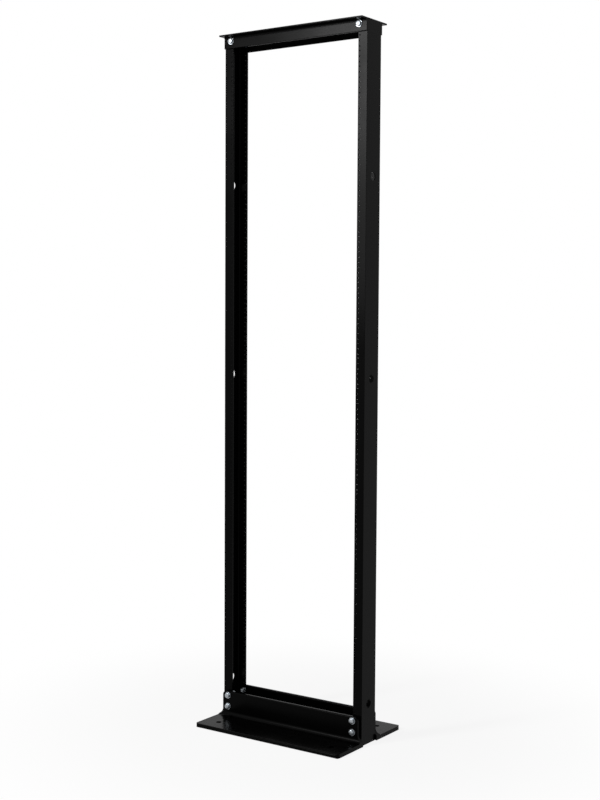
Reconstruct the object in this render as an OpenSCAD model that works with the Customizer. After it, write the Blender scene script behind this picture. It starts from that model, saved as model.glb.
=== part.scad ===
// Two post open frame rack: two extruded channel uprights, tied together by a pair
// of angles at the top and a pair of wide angles on the floor. Millimetres, +Z up.
// The origin is on the floor, midway between the uprights and midway front to back.
// -Y is the front, the side that the equipment is offered up to.

/* [Rack] */
// Overall height, floor to the top of the top angles
rack_h = 2133.6; // [700:0.1:2600]
// Overall width across the outer faces of the two uprights
rack_w = 515.9; // [510:0.1:560]
// Clear width between the tips of the flanges
opening_w = 454; // [450.1:0.1:458]
// Depth of the foot, front toe to rear toe
base_d = 355.6; // [260:0.1:700]

/* [Uprights] */
// Depth of the channel, front flange to rear flange
channel_d = 76.2; // [60:0.1:160]
// Thickness of the flanges, which take the tapped holes
flange_t = 6.35; // [4:0.05:8]
// Thickness of the web, on the outer side
web_t = 3.2; // [2.5:0.1:6.4]
// Fillet radius between web and flange
channel_fillet_r = 3.2; // [1:0.1:5]
// Radius on the channel's outer edges and flange tips
channel_edge_r = 0.8; // [0.3:0.1:1.5]

/* [Web holes] */
// Diameter of the round holes in the web
web_hole_d = 25.4; // [10:0.1:30]
// Height of the lowest web hole above the floor
web_hole_low_z = 120.65; // [105:0.05:300]
// Depth of the middle web hole below the top
web_hole_middle_drop = 1041.4; // [520:0.05:1400]
// Depth of the highest web hole below the top
web_hole_high_drop = 450.85; // [60:0.05:480]

/* [Equipment holes] */
// Distance between the left and right lines of holes
hole_line_spacing = 465.1; // [464.5:0.1:466]
// Height of one rack unit
unit_h = 44.45; // [44.45]
// Bore of the tapped holes, which is their tap drill
tapped_hole_d = 4.5; // [3.5:0.1:7.2]

/* [Top angles] */
// Leg that stands out from the upright
top_leg_out = 31.75; // [20:0.05:60]
// Leg that hangs down the face of the upright
top_leg_down = 38.1; // [30:0.05:60]
// Thickness of the top angles
top_t = 4.76; // [3:0.01:6.4]
// Depth of the frame bolts below the top
top_bolt_drop = 15.9; // [14:0.1:22]

/* [Base angles] */
// Leg that stands up the face of the upright
base_leg_up = 88.9; // [88:0.1:120]
// Thickness of the base angles
base_t = 12.7; // [6:0.1:14]
// Fillet radius between the foot and the upright leg
base_root_r = 12.7; // [3:0.1:15]
// How far the foot reaches past the upright at each end
foot_overhang = 6.35; // [0:0.05:12]
// How far the ends of the leg stop short of the upright's outer face
base_leg_setback = 5.5; // [0:0.1:6]
// Radius with which the ends of the leg run out into the foot
base_leg_blend_r = 22.2; // [14:0.1:30]
// Height of the lower row of frame bolts above the floor
base_bolt_low_z = 41.3; // [30:0.1:50]
// Height of the upper row
base_bolt_high_z = 76.2; // [65:0.1:80]
// Corner radius of the foot, seen from above
foot_corner_r = 12.7; // [2:0.1:20]
// Corner radius at the top ends of the upright leg
base_leg_corner_r = 12.7; // [2:0.1:20]
// Diameter of the floor anchor holes
anchor_hole_d = 17.5; // [10:0.1:22]
// Distance between the anchor holes, left to right
anchor_spacing_x = 419.1; // [300:0.1:440]
// Distance between the anchor holes, front to back
anchor_spacing_y = 254; // [160:0.1:300]

/* [Fasteners] */
// Clearance hole for the frame bolts
frame_bolt_hole_d = 10.3; // [8:0.1:12]

/* [Hidden] */

COAT = "#1b1c1e";                       // black powder coat
EPS = 1;                                // how far a cutter runs past a face

hole_line_x = hole_line_spacing / 2;
web_x = rack_w / 2;                     // outer face of each web
flange_w = (rack_w - opening_w) / 2;    // from the back of the web to the tip
clear_h = rack_h - top_leg_down - base_leg_up;
rack_units = floor(clear_h / unit_h);   // as many as fit between the angles: 45
units_z0 = base_leg_up + (clear_h - rack_units * unit_h) / 2;   // bottom of the first unit
// Universal spacing: three holes in a unit, 15.875, 15.875 and 12.7 apart
unit_hole_z = [6.35, 22.225, 38.1];
base_bolt_z = [base_bolt_low_z, base_bolt_high_z];
top_bolt_z = rack_h - top_bolt_drop;
base_len = rack_w + 2 * foot_overhang;
base_leg_len = rack_w - 2 * base_leg_setback;
web_hole_z = [web_hole_low_z, rack_h - web_hole_middle_drop, rack_h - web_hole_high_drop];

// Height of each tapped hole above the floor
function equipment_hole_z() =
    [for (u = [0 : rack_units - 1]) for (z = unit_hole_z) units_z0 + u * unit_h + z];

// Square bar in section, with all four edges rounded
module rounded_rect(w, h, r) {
    translate([r, 0]) square([w - 2 * r, h]);
    translate([0, r]) square([w, h - 2 * r]);
    for (x = [r, w - r], y = [r, h - r])
        translate([x, y]) circle(r = r, $fn = 32);
}

// What a fillet adds in the corner of the two axes
module fillet_web(r) {
    difference() {
        square(r);
        translate([r, r]) circle(r = r, $fn = 48);
    }
}

// What a rounded corner takes off a corner at the origin that points to -X, -Y
module corner_waste(r) {
    difference() {
        translate([-EPS, -EPS]) square(r + EPS);
        translate([r, r]) circle(r = r, $fn = 64);
    }
}

// Section of an upright: web along Y at x = 0, flanges towards +X
module channel_section() {
    flange_y = channel_d / 2 - flange_t;
    translate([0, -channel_d / 2]) rounded_rect(flange_w, flange_t, channel_edge_r);
    translate([0, flange_y]) rounded_rect(flange_w, flange_t, channel_edge_r);
    translate([0, -channel_d / 2 + channel_edge_r]) square([web_t, channel_d - 2 * channel_edge_r]);
    translate([web_t, -flange_y]) fillet_web(channel_fillet_r);
    translate([web_t, flange_y]) mirror([0, 1]) fillet_web(channel_fillet_r);
}

// One upright standing on the floor, in its place on the left, web outwards
module upright() {
    color(COAT) difference() {
        translate([-web_x, 0, 0]) linear_extrude(rack_h) channel_section();
        for (z = equipment_hole_z()) flange_hole(z, tapped_hole_d);
        for (z = concat(base_bolt_z, [top_bolt_z])) flange_hole(z, frame_bolt_hole_d);
        for (z = web_hole_z)
            translate([-web_x - EPS, 0, z])
                rotate([0, 90, 0]) cylinder(d = web_hole_d, h = web_t + 2 * EPS, $fn = 48);
    }
}

// A hole through both flanges of the left upright
module flange_hole(z, d) {
    translate([-hole_line_x, -channel_d / 2 - EPS, z])
        rotate([-90, 0, 0]) cylinder(d = d, h = channel_d + 2 * EPS, $fn = 24);
}

// Section of an angle with its heel at the origin, one leg along +X and one along +Y
module angle_section(leg_x, leg_y, t, root_r) {
    toe_r = t / 3;
    heel_r = 0.8;
    difference() {
        union() {
            rounded_rect(leg_x, t, toe_r);
            rounded_rect(t, leg_y, toe_r);
            square(t);
            translate([t, t]) fillet_web(root_r);
        }
        corner_waste(heel_r);
    }
}

// An angle along X on the rear side of the uprights, with its heel on the XY plane
module angle_bar(length, leg_out, leg_up, t, root_r) {
    translate([-length / 2, channel_d / 2, 0])
        rotate([90, 0, 90]) linear_extrude(length) angle_section(leg_out, leg_up, t, root_r);
}

// Rear top angle; the front one is its mirror image
module top_angle() {
    color(COAT) difference() {
        translate([0, 0, rack_h]) mirror([0, 0, 1])
            angle_bar(rack_w, top_leg_out, top_leg_down, top_t, top_t * 0.75);
        leg_holes([top_bolt_z], top_t);
    }
}

// Rear base angle; the front one is its mirror image
module base_angle() {
    color(COAT) difference() {
        angle_bar(base_len, base_d / 2 - channel_d / 2, base_leg_up, base_t, base_root_r);
        leg_holes(base_bolt_z, base_t);
        for (side = [-1, 1]) {
            translate([side * anchor_spacing_x / 2, anchor_spacing_y / 2, -EPS])
                cylinder(d = anchor_hole_d, h = base_t + 2 * EPS, $fn = 48);
            foot_corner(side);
            leg_end(side);
            leg_corner(side);
        }
    }
}

// Clearance holes for the frame bolts, through the leg of a rear angle
module leg_holes(heights, t) {
    for (side = [-1, 1], z = heights)
        translate([side * hole_line_x, channel_d / 2 - EPS, z])
            rotate([-90, 0, 0]) cylinder(d = frame_bolt_hole_d, h = t + 2 * EPS, $fn = 32);
}

// Rounds the outer corner of the rear foot on one side
module foot_corner(side) {
    translate([side * base_len / 2, base_d / 2, -EPS])
        on_side(side) linear_extrude(base_t + 2 * EPS)
            rotate(180) corner_waste(foot_corner_r);
}

// Cuts the leg of the rear base angle back on one side, down to a round blend above the foot
module leg_end(side) {
    cut_w = foot_overhang + base_leg_setback + EPS;
    cut_h = base_leg_up - base_t + EPS;
    cut_y = channel_d / 2 + base_t + base_root_r + EPS;
    on_side(side) translate([base_leg_len / 2, cut_y, base_t])
        rotate([90, 0, 0]) linear_extrude(base_t + base_root_r + 2 * EPS) difference() {
            square([cut_w, cut_h]);
            fillet_web(base_leg_blend_r);
        }
}

// Rounds the top corner of the upright leg of the rear base angle on one side
module leg_corner(side) {
    translate([side * base_leg_len / 2, channel_d / 2 - EPS, base_leg_up])
        on_side(side) rotate([-90, 0, 0]) linear_extrude(base_t + 2 * EPS)
            mirror([1, 0]) corner_waste(base_leg_corner_r);
}

// Keeps what is made for the right side, or mirrors it for the left
module on_side(side) {
    if (side > 0) children();
    else mirror([1, 0, 0]) children();
}

// Both uprights are the same part, and the right one is turned half round
module left_upright() upright();
module right_upright() rotate([0, 0, 180]) upright();
module rear_top_angle() top_angle();
module front_top_angle() mirror([0, 1, 0]) top_angle();
module rear_base_angle() base_angle();
module front_base_angle() mirror([0, 1, 0]) base_angle();

left_upright();
right_upright();
front_top_angle();
rear_top_angle();
front_base_angle();
rear_base_angle();
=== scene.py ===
"""Looks of the two post open frame rack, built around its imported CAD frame.

The uprights and angles are CAD solids that keep their shape and get a powder-coated finish here.
The frame bolts, washers and nuts that clamp them together are made here as numpy surfaces, true
to scale, and the plain studio they stand in is made last. Names that end in _mm and the sizes of
the bolt are in millimetres; everything else is in metres.
"""

from __future__ import annotations

import logging
import math
from dataclasses import dataclass, field
from enum import Enum

import bmesh
import bpy
import numpy as np
from mathutils import Matrix, Vector


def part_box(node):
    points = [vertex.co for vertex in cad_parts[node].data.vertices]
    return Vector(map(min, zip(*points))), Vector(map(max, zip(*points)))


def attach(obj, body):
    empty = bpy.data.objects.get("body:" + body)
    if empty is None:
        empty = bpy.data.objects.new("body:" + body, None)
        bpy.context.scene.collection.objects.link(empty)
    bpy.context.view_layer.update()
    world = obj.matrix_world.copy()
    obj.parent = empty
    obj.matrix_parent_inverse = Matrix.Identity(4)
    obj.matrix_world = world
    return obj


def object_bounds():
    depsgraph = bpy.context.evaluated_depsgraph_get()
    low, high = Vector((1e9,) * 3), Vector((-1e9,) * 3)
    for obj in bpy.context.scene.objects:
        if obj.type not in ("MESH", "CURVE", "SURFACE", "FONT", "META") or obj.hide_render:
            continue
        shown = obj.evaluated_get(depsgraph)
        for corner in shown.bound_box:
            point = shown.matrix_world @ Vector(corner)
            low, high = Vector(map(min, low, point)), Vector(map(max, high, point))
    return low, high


LOG = logging.getLogger("rack")
MM = 0.001
TAU = 2.0 * math.pi
SMOOTH_DEG = 32.0  # sharper edges of the fasteners stay sharp
THREAD_SMOOTH_DEG = 60.0  # the same for threads, which are smooth up to their crests
MERGE_MM = 0.005  # points that are closer than this become one
NOISE_LOW, NOISE_HIGH = 0.3, 0.7  # nearly all of the noise lies between these
MIX_A, MIX_B, MIX_RESULT = 6, 7, 2  # the mix node's colour sockets, whose names aren't unique

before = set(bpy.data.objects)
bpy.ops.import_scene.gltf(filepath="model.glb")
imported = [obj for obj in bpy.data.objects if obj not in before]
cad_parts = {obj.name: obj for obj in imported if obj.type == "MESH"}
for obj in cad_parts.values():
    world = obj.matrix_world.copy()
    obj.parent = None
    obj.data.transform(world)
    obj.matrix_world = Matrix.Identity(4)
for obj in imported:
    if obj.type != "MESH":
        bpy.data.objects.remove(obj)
CAD_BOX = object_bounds()


class Side(Enum):
    """Left or right upright, as the sign of X."""

    LEFT = -1
    RIGHT = 1


class Face(Enum):
    """Front or rear of the rack, as the sign of Y."""

    FRONT = -1
    REAR = 1


class Slot(Enum):
    """Names of material slots."""

    ZINC = "zinc_plated_steel"


# ---------------------------------------------------------------- nodes


def linear(hex_colour: str) -> tuple[float, float, float, float]:
    """Turns an sRGB hex colour into linear RGBA.

    Args:
        hex_colour: six hex digits after a hash.

    Returns:
        Red, green, blue and an alpha of 1.
    """
    srgb = np.array([int(hex_colour[i : i + 2], 16) for i in (1, 3, 5)]) / 255.0
    low, high = srgb / 12.92, ((srgb + 0.055) / 1.055) ** 2.4
    return (*np.where(srgb <= 0.04045, low, high).tolist(), 1.0)


def add_node(
    tree: bpy.types.NodeTree, kind: str, inputs: dict | None = None, **settings
) -> bpy.types.Node:
    """Adds a node with its settings, its socket values and its incoming links.

    Args:
        tree: the node tree that gets the node.
        kind: the node's type name.
        inputs: socket name or number to a value, or to the output socket that feeds it.
        **settings: the node's own attributes.

    Returns:
        The new node.
    """
    node = tree.nodes.new(kind)
    for name, value in settings.items():
        setattr(node, name, value)
    for name, value in (inputs or {}).items():
        if isinstance(value, bpy.types.NodeSocket):
            tree.links.new(value, node.inputs[name])
        else:
            node.inputs[name].default_value = value
    return node


def noise(
    tree: bpy.types.NodeTree, coords: bpy.types.NodeSocket, scale: float, detail: float
) -> bpy.types.NodeSocket:
    """Adds a noise texture.

    Args:
        tree: the node tree that gets the node.
        coords: the socket that gives the place.
        scale: how many clouds there are in one unit of the place.
        detail: how many finer layers the clouds have.

    Returns:
        The socket that holds the noise.
    """
    inputs = {"Vector": coords, "Scale": scale, "Detail": detail}
    return add_node(tree, "ShaderNodeTexNoise", inputs).outputs["Fac"]


def tint(
    tree: bpy.types.NodeTree, clouds: bpy.types.NodeSocket, low: str, high: str
) -> bpy.types.NodeSocket:
    """Adds a colour that drifts with the clouds.

    Args:
        tree: the node tree that gets the node.
        clouds: the noise that the colour follows.
        low: hex colour where the noise is 0.
        high: hex colour where the noise is 1.

    Returns:
        The socket that holds the colour.
    """
    inputs = {"Factor": clouds, MIX_A: linear(low), MIX_B: linear(high)}
    return add_node(tree, "ShaderNodeMix", inputs, data_type="RGBA").outputs[MIX_RESULT]


def cloudy_roughness(
    tree: bpy.types.NodeTree, clouds: bpy.types.NodeSocket, low: float, high: float
) -> bpy.types.NodeSocket:
    """Adds a roughness that drifts with the clouds.

    Args:
        tree: the node tree that gets the node.
        clouds: the noise that the roughness follows.
        low: roughness at the low end of the noise.
        high: roughness at its high end.

    Returns:
        The socket that holds the roughness.
    """
    ends = {"From Min": NOISE_LOW, "From Max": NOISE_HIGH, "To Min": low, "To Max": high}
    return add_node(tree, "ShaderNodeMapRange", {"Value": clouds, **ends}).outputs[0]


def bump(
    tree: bpy.types.NodeTree,
    height: bpy.types.NodeSocket,
    strength: float,
    depth_mm: float,
    **under: bpy.types.NodeSocket,
) -> bpy.types.NodeSocket:
    """Adds a bump.

    Args:
        tree: the node tree that gets the node.
        height: the noise that the bump follows.
        strength: how much of the bump shows.
        depth_mm: how deep it is.
        **under: Normal, the socket of a bump that lies under this one, if there is one.

    Returns:
        The socket that holds the bumped normal.
    """
    inputs = {"Strength": strength, "Distance": depth_mm * MM, "Height": height, **under}
    return add_node(tree, "ShaderNodeBump", inputs).outputs[0]


def shade(tree: bpy.types.NodeTree, inputs: dict) -> None:
    """Ends a material's node tree with a Principled shader that has these inputs."""
    shader = add_node(tree, "ShaderNodeBsdfPrincipled", inputs)
    add_node(tree, "ShaderNodeOutputMaterial", {"Surface": shader.outputs[0]})


def new_material(name: str) -> tuple[bpy.types.Material, bpy.types.NodeTree]:
    """Makes an empty node material.

    Args:
        name: what the real finish is called.

    Returns:
        The material and its cleared node tree.
    """
    material = bpy.data.materials.new(name)
    material.use_nodes = True
    material.node_tree.nodes.clear()
    return material, material.node_tree


# ---------------------------------------------------------------- surfaces


@dataclass(frozen=True)
class Placing:
    """A piece's own frame on the rack: +Z along a bolt's axis, out of the clamped face."""

    origin_mm: tuple[float, float, float]
    face: Face
    spin: float = 0.0

    def apply(self, points_mm: np.ndarray) -> np.ndarray:
        """Moves points from the piece's frame to the rack's.

        The spin turns X and Y about the axis. The axis then lies along the face's normal, the
        piece's Y goes up, and its X is the cross product of the two, so nothing is mirrored.

        Args:
            points_mm: points of shape (n, 3), in mm.

        Returns:
            The points in metres.
        """
        c, s = math.cos(self.spin), math.sin(self.spin)
        axis = np.array([0.0, float(self.face.value), 0.0])
        up = np.array([0.0, 0.0, 1.0])
        across = np.cross(up, axis)
        turned = points_mm @ np.array([[c, s, 0.0], [-s, c, 0.0], [0.0, 0.0, 1.0]])
        return (turned @ np.stack([across, up, axis]) + np.array(self.origin_mm)) * MM


def grid_quads(rows: int, columns: int) -> np.ndarray:
    """Joins a grid of points, whose last column meets its first, into quads.

    Corner k of the quad at row i, column j is point (i + di, j + dj) with (di, dj) running through
    (0, 0), (0, 1), (1, 1), (1, 0), and columns count modulo their number.

    Args:
        rows: number of point rows.
        columns: number of points in a row.

    Returns:
        An array of point numbers, four to a quad.
    """
    i = np.arange(rows - 1)[:, None]
    j = np.arange(columns)[None, :]
    here, below = i * columns, (i + 1) * columns
    right = (j + 1) % columns
    corners = (here + j, here + right, below + right, below + j)
    return np.stack(np.broadcast_arrays(*corners), axis=-1).reshape(-1, 4)


def surface_object(
    name: str, rows: np.ndarray, placing: Placing, smooth_deg: float = SMOOTH_DEG
) -> bpy.types.Object:
    """Makes an object from a wrapped grid of points, with its place in its mesh.

    Rows that shrink to one point close the surface, so doubles are merged, and the normals are then
    recalculated outwards.

    Args:
        name: the piece's name.
        rows: points of shape (rows, columns, 3) in the piece's own frame, in mm.
        placing: where the piece's own frame lies on the rack.
        smooth_deg: edges sharper than this stay sharp.

    Returns:
        The linked object, at the origin.
    """
    mesh = bpy.data.meshes.new(name)
    quads = grid_quads(*rows.shape[:2])
    mesh.from_pydata(placing.apply(rows.reshape(-1, 3)).tolist(), [], quads.tolist())
    shell = bmesh.new()
    shell.from_mesh(mesh)
    bmesh.ops.remove_doubles(shell, verts=shell.verts, dist=MERGE_MM * MM)
    bmesh.ops.recalc_face_normals(shell, faces=shell.faces)
    shell.to_mesh(mesh)
    shell.free()
    mesh.polygons.foreach_set("use_smooth", np.ones(len(mesh.polygons), bool))
    mesh.set_sharp_from_angle(angle=math.radians(smooth_deg))
    piece = bpy.data.objects.new(name, mesh)
    bpy.context.scene.collection.objects.link(piece)
    return piece


def rings(radii: np.ndarray, heights: np.ndarray, columns: int) -> np.ndarray:
    """Stacks rings round the Z axis.

    Point (i, j) is (r cos t, r sin t, z) with t = 2 pi j / columns, and r and z given for ring i,
    or for ring i and column j.

    Args:
        radii: one radius a ring, or one a ring and column.
        heights: one height a ring, or one a ring and column.
        columns: points in a ring.

    Returns:
        Points of shape (rings, columns, 3).
    """
    t = np.arange(columns) * TAU / columns
    shape = (len(radii), columns)
    r = np.broadcast_to(radii.reshape(len(radii), -1), shape)
    z = np.broadcast_to(heights.reshape(len(heights), -1), shape)
    return np.stack([r * np.cos(t), r * np.sin(t), z], axis=-1)


# ---------------------------------------------------------------- finishes


@dataclass(frozen=True)
class PowderCoat:
    """Black satin polyester powder coat, sprayed dry and baked on extruded aluminium.

    The eye gets a deep black with a soft sheen that grows at glancing angles, a fine orange peel,
    and long faint draw lines left by the extrusion die under the coat.
    """

    name: str
    along: tuple[float, float, float]
    dark: str = "#010101"
    light: str = "#020202"
    roughness: float = 0.239
    smoother: float = 0.04
    rougher: float = 0.05
    ior: float = 1.5
    specular: float = 0.033
    relief_mm: float = 0.03
    peel_mm: float = 2.4
    peel_strength: float = 0.35
    draw_line_mm: float = 5.0
    draw_length_mm: float = 900.0
    draw_strength: float = 0.25
    cloud_mm: float = 160.0

    def build(self) -> bpy.types.Material:
        """Builds the material.

        Returns:
            The powder coat, with its grain along one axis.
        """
        material, tree = new_material(self.name)
        coords = add_node(tree, "ShaderNodeTexCoord").outputs["Object"]
        sizes_mm = [self.draw_length_mm if a else self.draw_line_mm for a in self.along]
        stretch = tuple(1.0 / (size * MM) for size in sizes_mm)
        drawn = add_node(tree, "ShaderNodeMapping", {"Vector": coords, "Scale": stretch}).outputs[0]
        lines = noise(tree, drawn, 1.0, 2.0)
        clouds = noise(tree, coords, 1.0 / (self.cloud_mm * MM), 3.0)
        peel = noise(tree, coords, 1.0 / (self.peel_mm * MM), 1.0)
        smooth, rough = self.roughness - self.smoother, self.roughness + self.rougher
        draw_bump = bump(tree, lines, self.draw_strength, self.relief_mm)
        shade(
            tree,
            {
                "Base Color": tint(tree, clouds, self.dark, self.light),
                "Roughness": cloudy_roughness(tree, clouds, smooth, rough),
                "IOR": self.ior,
                "Specular IOR Level": self.specular,
                "Normal": bump(tree, peel, self.peel_strength, self.relief_mm, Normal=draw_bump),
            },
        )
        return material


@dataclass(frozen=True)
class ZincPlate:
    """Clear zinc plating over rolled and forged steel fasteners.

    The eye gets a bright, slightly blue metal, cloudy where the plating is thicker.
    """

    name: str = "zinc plated steel"
    bright: str = "#aeb3b7"
    dull: str = "#83888c"
    roughness: float = 0.3
    smoother: float = 0.05
    rougher: float = 0.1
    relief_mm: float = 0.02
    cloud_mm: float = 3.0
    grain_mm: float = 0.35
    grain_strength: float = 0.2

    def build(self) -> bpy.types.Material:
        """Builds the material.

        Returns:
            The zinc plate.
        """
        material, tree = new_material(self.name)
        coords = add_node(tree, "ShaderNodeTexCoord").outputs["Object"]
        clouds = noise(tree, coords, 1.0 / (self.cloud_mm * MM), 4.0)
        grain = noise(tree, coords, 1.0 / (self.grain_mm * MM), 2.0)
        smooth, rough = self.roughness - self.smoother, self.roughness + self.rougher
        shade(
            tree,
            {
                "Base Color": tint(tree, clouds, self.dull, self.bright),
                "Metallic": 1.0,
                "Roughness": cloudy_roughness(tree, clouds, rough, smooth),
                "Normal": bump(tree, grain, self.grain_strength, self.relief_mm),
            },
        )
        return material


# ---------------------------------------------------------------- fasteners


@dataclass(frozen=True)
class FrameBolt:
    """One 3/8 inch hex bolt with its flat washer, split lock washer and nut, sizes in mm."""

    columns: int = 48
    thread_d: float = 9.525
    pitch: float = 1.5875
    thread_depth: float = 0.61  # as a share of the pitch
    thread_start: float = 0.2  # under the head
    crest_gain: float = 1.15  # cuts the tips of the triangle wave off
    rows_a_pitch: int = 10
    stock_lengths: tuple[float, ...] = (19.05, 25.4, 31.75, 38.1, 44.45)
    across_flats: float = 14.2875
    face_share: float = 0.475  # radius of the round faces, as a share of the flats
    crown_deg: float = 30.0
    head_h: float = 6.0
    head_edge_w: float = 0.25
    head_edge_h: float = 0.1
    seat_h: float = 0.4
    nut_h: float = 8.3
    nut_bevel: float = 0.5
    washer_d: float = 20.6
    washer_t: float = 1.65
    washer_gap: float = 0.4  # from the thread
    washer_edge: float = 0.3
    lock_d: float = 16.8
    lock_t: float = 2.4
    lock_gap: float = 0.3
    lock_climb: float = 0.2  # of its thickness
    split_deg: float = 4.0  # from the middle of the split to each end
    split_rows: int = 45

    def length(self, grip: float) -> float:
        """Shortest stock length that takes washers and nut and shows one thread past them."""
        needed = grip + self.washer_t + self.lock_t + self.nut_h + self.pitch
        return next(size for size in self.stock_lengths if size >= needed)

    def hex_radius(self) -> np.ndarray:
        """Radius of a hexagon at each column: half the flats over cos((t mod 60) - 30 degrees)."""
        t = np.arange(self.columns) * TAU / self.columns
        return self.across_flats / 2 / np.cos(np.mod(t, TAU / 6) - TAU / 12)

    def face_radius(self) -> float:
        """Radius of the circle that the crown cone and the washer face leave on a hexagon."""
        return self.face_share * self.across_flats

    def crown(self) -> np.ndarray:
        """How far the crown cone has dropped where it leaves the hexagon at each column."""
        return (self.hex_radius() - self.face_radius()) * math.tan(math.radians(self.crown_deg))

    def head(self) -> np.ndarray:
        """Hex head from its crown down to its washer face, closed at both ends.

        Rings from the crown's middle: the crown circle, the hexagon under the cone, the hexagon at
        the washer face, the washer face circle, and its foot. Z is 0 under the head.

        Returns:
            Points of shape (rings, columns, 3).
        """
        hexagon, flat = self.hex_radius(), np.ones(self.columns)
        face = self.face_radius() * flat
        edge = self.head_h - self.head_edge_h
        radii = np.stack(
            [0 * flat, face - self.head_edge_w, face, hexagon, hexagon, face, face, 0 * flat]
        )
        heights = np.stack(
            [
                self.head_h * flat,
                self.head_h * flat,
                edge * flat,
                edge - self.crown(),
                self.seat_h * flat,
                self.seat_h * flat,
                0 * flat,
                0 * flat,
            ]
        )
        return rings(radii, heights, self.columns)

    def thread(self, end: float) -> np.ndarray:
        """Threaded rod from under the head to its end along -Z, closed at both ends.

        The radius is a triangle wave in z over the pitch minus t over a turn, so the crest climbs
        one pitch a turn, and it fades to the root over the last thread at the end's chamfer.

        Args:
            end: depth of the bolt's point.

        Returns:
            Points of shape (rows, columns, 3).
        """
        start = self.thread_start
        rows = int((end - start) / self.pitch * self.rows_a_pitch)
        depth = np.linspace(start, end, rows)[:, None]
        turn = np.arange(self.columns)[None, :] / self.columns
        wave = np.abs(np.mod(depth / self.pitch - turn, 1.0) * 2 - 1)
        crest = self.thread_d / 2
        root = crest - self.thread_depth * self.pitch
        chamfer = np.clip((end - depth) / self.pitch, 0.0, 1.0)
        radius = root + (crest - root) * np.minimum(wave * self.crest_gain, 1.0) * chamfer
        radii = np.vstack([np.zeros((1, self.columns)), radius, np.zeros((1, self.columns))])
        heights = -np.vstack([[[start]], depth, [[end]]]) * np.ones((1, self.columns))
        return rings(radii, heights, self.columns)

    def washer(self) -> np.ndarray:
        """Flat washer with slightly rolled edges, from Z 0 up to its thickness."""
        bore, rim = self.thread_d / 2 + self.washer_gap, self.washer_d / 2
        t, edge, foot = self.washer_t, self.washer_edge, self.washer_edge / 2
        radii = np.array([bore, bore, rim - edge, rim, rim, rim - foot, bore])
        heights = np.array([0.0, t, t, t - edge, foot, 0.0, 0.0])
        return rings(radii, heights, self.columns)

    def nut(self) -> np.ndarray:
        """Hex nut chamfered on both faces, from Z 0 up to its height, round a plain bore."""
        hexagon, flat = self.hex_radius(), np.ones(self.columns)
        face, bore = self.face_radius() * flat, self.thread_d / 2 * flat
        drop, h, bevel = self.crown(), self.nut_h, self.nut_bevel
        wide = bore + bevel
        radii = np.stack([bore, wide, face, hexagon, hexagon, face, wide, bore, bore])
        top = [(h - bevel) * flat, h * flat, h * flat, h - drop]
        bottom = [drop, 0 * flat, 0 * flat, bevel * flat, (h - bevel) * flat]
        return rings(radii, np.stack(top + bottom), self.columns)

    def lock_washer(self) -> np.ndarray:
        """Split spring washer: a square section carried round almost one turn of a flat helix.

        Point (i, k) is corner k of the section at turn a: (r cos a, r sin a, z + climb a / 2 pi).

        Returns:
            Points of shape (rows, corners, 3), with both ends closed to a point.
        """
        inner, outer = self.thread_d / 2 + self.lock_gap, self.lock_d / 2
        first, last = math.radians(self.split_deg), math.radians(360.0 - self.split_deg)
        turn = np.linspace(first, last, self.split_rows)[:, None]
        r = np.array([inner, outer, outer, inner])[None, :] * np.ones_like(turn)
        thick = (1.0 - self.lock_climb) * self.lock_t
        rise = self.lock_climb * self.lock_t * (turn / TAU)
        z = np.array([0.0, 0.0, thick, thick])[None, :] + rise
        body = np.stack([r * np.cos(turn), r * np.sin(turn), z], axis=-1)
        ends = body[[0, -1]].mean(axis=1, keepdims=True) * np.ones((1, 4, 1))
        return np.concatenate([ends[:1], body, ends[1:]])


@dataclass
class Joint:
    """Where an angle is bolted to the flanges of the uprights, by columns of bolts."""

    name: str
    face: Face
    heights_mm: tuple[float, ...]
    angle_t_mm: float


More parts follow.
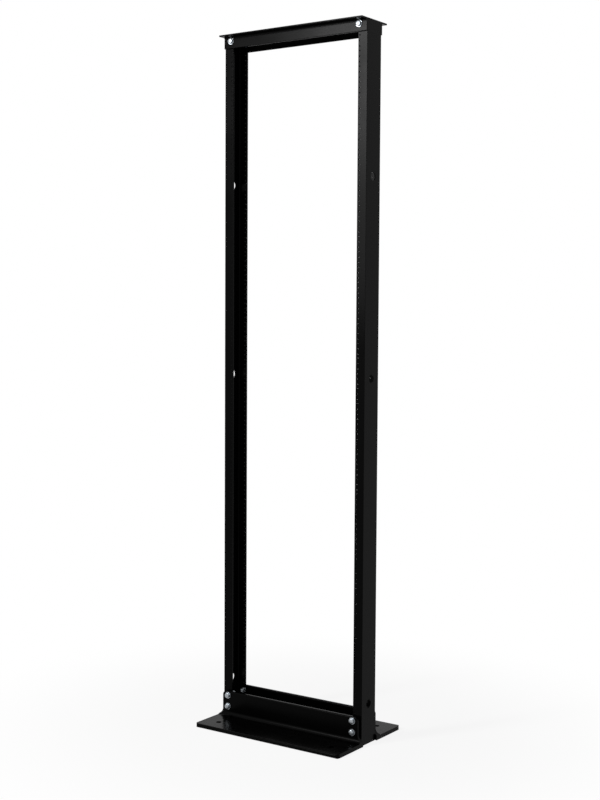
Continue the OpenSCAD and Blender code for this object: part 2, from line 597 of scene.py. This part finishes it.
@dataclass
class Hardware:
    """All frame bolts: one column of them at each crossing of an angle and an upright."""

    bolt: FrameBolt = field(default_factory=FrameBolt)
    hole_line_mm: float = 465.1
    flange_t_mm: float = 6.35
    top_t_mm: float = 4.76
    base_t_mm: float = 12.7
    top_drop_mm: float = 15.9
    base_heights_mm: tuple[float, ...] = (41.3, 76.2)
    seed: int = 19

    def joints(self) -> list[Joint]:
        """The four angles with the heights of their bolts, worked out from the frame's box."""
        top = CAD_BOX[1][2] / MM - self.top_drop_mm
        crossings = []
        for face in Face:
            side = face.name.lower()
            crossings.append(Joint(f"top_{side}", face, (top,), self.top_t_mm))
            crossings.append(Joint(f"base_{side}", face, self.base_heights_mm, self.base_t_mm))
        return crossings

    def build(self, zinc: bpy.types.Material) -> list[bpy.types.Object]:
        """Builds every fastener and lets it ride on the rack.

        Args:
            zinc: the finish of all the fasteners.

        Returns:
            The new pieces.
        """
        chance = np.random.default_rng(self.seed)
        pieces: list[bpy.types.Object] = []
        for joint in self.joints():
            for side in Side:
                for row, height in enumerate(joint.heights_mm, start=1):
                    name = f"{joint.name}_{side.name.lower()}_{row}"
                    spins = chance.uniform(0.0, TAU, 3)
                    pieces += self.fastener(name, joint, side, height, spins)
        for piece in pieces:
            piece.data.materials.append(zinc)
            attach(piece, "root")
        return pieces

    def fastener(
        self, name: str, joint: Joint, side: Side, height: float, spins: np.ndarray
    ) -> list[bpy.types.Object]:
        """Builds one bolt set: head and washer outside the angle, the rest in the channel.

        Args:
            name: the start of the pieces' names.
            joint: the angle and the face that it is bolted to.
            side: the upright.
            height: the bolt's height above the floor, in mm.
            spins: how far the head, the split and the nut happen to be turned.

        Returns:
            The bolt, its thread, both washers and the nut.
        """
        bolt, face = self.bolt, joint.face
        length = bolt.length(joint.angle_t_mm + self.flange_t_mm)
        x = side.value * self.hole_line_mm / 2
        flange_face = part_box("left_upright")[1][1] / MM
        outer = face.value * (flange_face + joint.angle_t_mm)
        inner = face.value * (flange_face - self.flange_t_mm)
        opposite = Face.REAR if face is Face.FRONT else Face.FRONT
        head_at = Placing((x, outer + face.value * bolt.washer_t, height), face, spins[0])
        washer_at = Placing((x, outer, height), face)
        lock_at = Placing((x, inner, height), opposite, spins[1])
        nut_at = Placing((x, inner - face.value * bolt.lock_t, height), opposite, spins[2])
        thread = bolt.thread(length)
        return [
            surface_object(f"{name}_bolt_head", bolt.head(), head_at),
            surface_object(f"{name}_bolt_thread", thread, head_at, THREAD_SMOOTH_DEG),
            surface_object(f"{name}_flat_washer", bolt.washer(), washer_at),
            surface_object(f"{name}_lock_washer", bolt.lock_washer(), lock_at),
            surface_object(f"{name}_nut", bolt.nut(), nut_at),
        ]


# ---------------------------------------------------------------- CAD frame


@dataclass
class CoatedFrame:
    """The CAD uprights and angles in their powder coat, whose draw lines run along each length."""

    upright_coat: PowderCoat = PowderCoat("black powder coat on uprights", (0.0, 0.0, 1.0))
    angle_coat: PowderCoat = PowderCoat("black powder coat on angles", (1.0, 0.0, 0.0))

    def dress(self) -> list[bpy.types.Object]:
        """Gives every CAD node its finish.

        Returns:
            The dressed nodes.
        """
        coats = {True: self.upright_coat.build(), False: self.angle_coat.build()}
        for name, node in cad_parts.items():
            node.data.materials.clear()
            node.data.materials.append(coats[name.endswith("upright")])
        return list(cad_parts.values())


# ---------------------------------------------------------------- studio


@dataclass(frozen=True)
class Lamp:
    """A plain soft box: a square area lamp aimed at a point, places in metres."""

    name: str
    place: tuple[float, float, float]
    aim: tuple[float, float, float]
    size: float
    watts: float

    def build(self) -> None:
        """Makes the lamp and points its -Z axis at what it lights."""
        data = bpy.data.lights.new(self.name, "AREA")
        data.size, data.energy = self.size, self.watts
        lamp = bpy.data.objects.new(self.name, data)
        lamp.location = self.place
        ahead = Vector(self.aim) - Vector(self.place)
        lamp.rotation_euler = ahead.to_track_quat("-Z", "Y").to_euler()
        bpy.context.scene.collection.objects.link(lamp)


@dataclass(frozen=True)
class Studio:
    """White surround, pale floor, plain lamps and the camera, places in metres."""

    white: str = "#ffffff"
    ambient: float = 0.2
    floor_colour: str = "#f2f2f1"
    floor_half: float = 30.0
    floor_lift: float = 0.88
    fade_start: float = 0.35
    fade_end: float = 1.3
    lamps: tuple[Lamp, ...] = (
        Lamp("key_softbox", (-1.96, -4.0, 2.86), (0.0, 0.0, 1.5), 0.73, 122.0),
        Lamp("low_softbox", (-0.5, -1.69, 1.68), (0.0, 0.0, 1.0), 0.8, 12.0),
    )
    camera_place: tuple[float, float, float] = (2.35083, -3.39185, 1.2804)
    camera_yaw: float = 34.692
    camera_pitch: float = -3.618
    camera_roll: float = 0.315
    lens_mm: float = 60.915
    sensor_mm: float = 36.0

    def build(self) -> None:
        """Builds the surround, the floor, the lamps and the camera."""
        self.surround()
        self.floor()
        for lamp in self.lamps:
            lamp.build()
        self.camera()

    @staticmethod
    def seen(tree: bpy.types.NodeTree) -> bpy.types.NodeSocket:
        """Adds nodes that give 1 to rays from the camera, a reflection or a transmission.

        Args:
            tree: the node tree that asks.

        Returns:
            The socket that holds the largest of the three.
        """
        path = add_node(tree, "ShaderNodeLightPath").outputs
        rays = {0: path["Is Glossy Ray"], 1: path["Is Transmission Ray"]}
        mirrored = add_node(tree, "ShaderNodeMath", rays, operation="MAXIMUM").outputs[0]
        rays = {0: path["Is Camera Ray"], 1: mirrored}
        return add_node(tree, "ShaderNodeMath", rays, operation="MAXIMUM").outputs[0]

    def surround(self) -> None:
        """White where it is seen or mirrored, and a dimmer even light on everything else."""
        world = bpy.data.worlds.new("white surround")
        bpy.context.scene.world = world
        world.use_nodes = True
        tree = world.node_tree
        tree.nodes.clear()
        lit, white = (
            add_node(tree, "ShaderNodeBackground", {"Color": linear(self.white), "Strength": level})
            for level in (self.ambient, 1.0)
        )
        shares = {0: self.seen(tree), 1: lit.outputs[0], 2: white.outputs[0]}
        mix = add_node(tree, "ShaderNodeMixShader", shares)
        add_node(tree, "ShaderNodeOutputWorld", {"Surface": mix.outputs[0]})

    def floor(self) -> None:
        """Pale matt floor that keeps a faint shadow near the rack and fades to white far from it.

        The share of white rises from the lift to 1 by a smooth step of the distance from the
        origin, from the start of the fade to its end, and only rays that see the floor get it.
        """
        corners = np.array([[-1, -1, 0], [1, -1, 0], [1, 1, 0], [-1, 1, 0]]) * self.floor_half
        mesh = bpy.data.meshes.new("floor")
        mesh.from_pydata(corners.tolist(), [], [(0, 1, 2, 3)])
        material, tree = new_material("pale studio floor")
        coords = add_node(tree, "ShaderNodeTexCoord").outputs["Object"]
        distance = add_node(tree, "ShaderNodeVectorMath", {0: coords}, operation="LENGTH")
        near_to_far = {
            "Value": distance.outputs["Value"],
            "From Min": self.fade_start,
            "From Max": self.fade_end,
            "To Min": self.floor_lift,
            "To Max": 1.0,
        }
        fade = add_node(tree, "ShaderNodeMapRange", near_to_far, interpolation_type="SMOOTHSTEP")
        factors = {0: fade.outputs[0], 1: self.seen(tree)}
        share = add_node(tree, "ShaderNodeMath", factors, operation="MULTIPLY").outputs[0]
        matt = add_node(tree, "ShaderNodeBsdfDiffuse", {"Color": linear(self.floor_colour)})
        white = add_node(
            tree, "ShaderNodeEmission", {"Color": linear(self.white), "Strength": 1.0}
        )
        shares = {0: share, 1: matt.outputs[0], 2: white.outputs[0]}
        mix = add_node(tree, "ShaderNodeMixShader", shares)
        add_node(tree, "ShaderNodeOutputMaterial", {"Surface": mix.outputs[0]})
        mesh.materials.append(material)
        floor = bpy.data.objects.new("floor", mesh)
        bpy.context.scene.collection.objects.link(floor)

    def camera(self) -> None:
        """Camera at chest height in front of the right upright, looking across the rack.

        Its right, up and back axes come from the yaw and pitch, and the roll turns right and up
        about the line of sight.
        """
        angles = (self.camera_yaw, self.camera_pitch, self.camera_roll)
        yaw, pitch, roll = (math.radians(angle) for angle in angles)
        level = Vector((math.cos(yaw), math.sin(yaw), 0.0))
        ahead = Vector(
            (-math.sin(yaw) * math.cos(pitch), math.cos(yaw) * math.cos(pitch), math.sin(pitch))
        )
        above = level.cross(ahead)
        right = level * math.cos(roll) + above * math.sin(roll)
        up = above * math.cos(roll) - level * math.sin(roll)
        data = bpy.data.cameras.new("camera")
        data.sensor_width, data.lens = self.sensor_mm, self.lens_mm
        camera = bpy.data.objects.new("camera", data)
        turn = Matrix((right, up, -ahead)).transposed().to_4x4()
        camera.matrix_world = Matrix.Translation(self.camera_place) @ turn
        bpy.context.scene.collection.objects.link(camera)
        bpy.context.scene.camera = camera


def main() -> None:
    """Dresses the frame, adds the hardware, sets the studio and reports each piece."""
    logging.basicConfig(level=logging.INFO, format="%(name)s: %(message)s")
    scene = bpy.context.scene
    scene.view_settings.view_transform = "Standard"
    for node in CoatedFrame().dress():
        LOG.info("dressed %s", node.name)
    for piece in Hardware().build(ZincPlate().build()):
        LOG.info("built %s, %d faces", piece.name, len(piece.data.polygons))
    Studio().build()
    LOG.info("studio set")


if __name__ == "__main__":
    main()
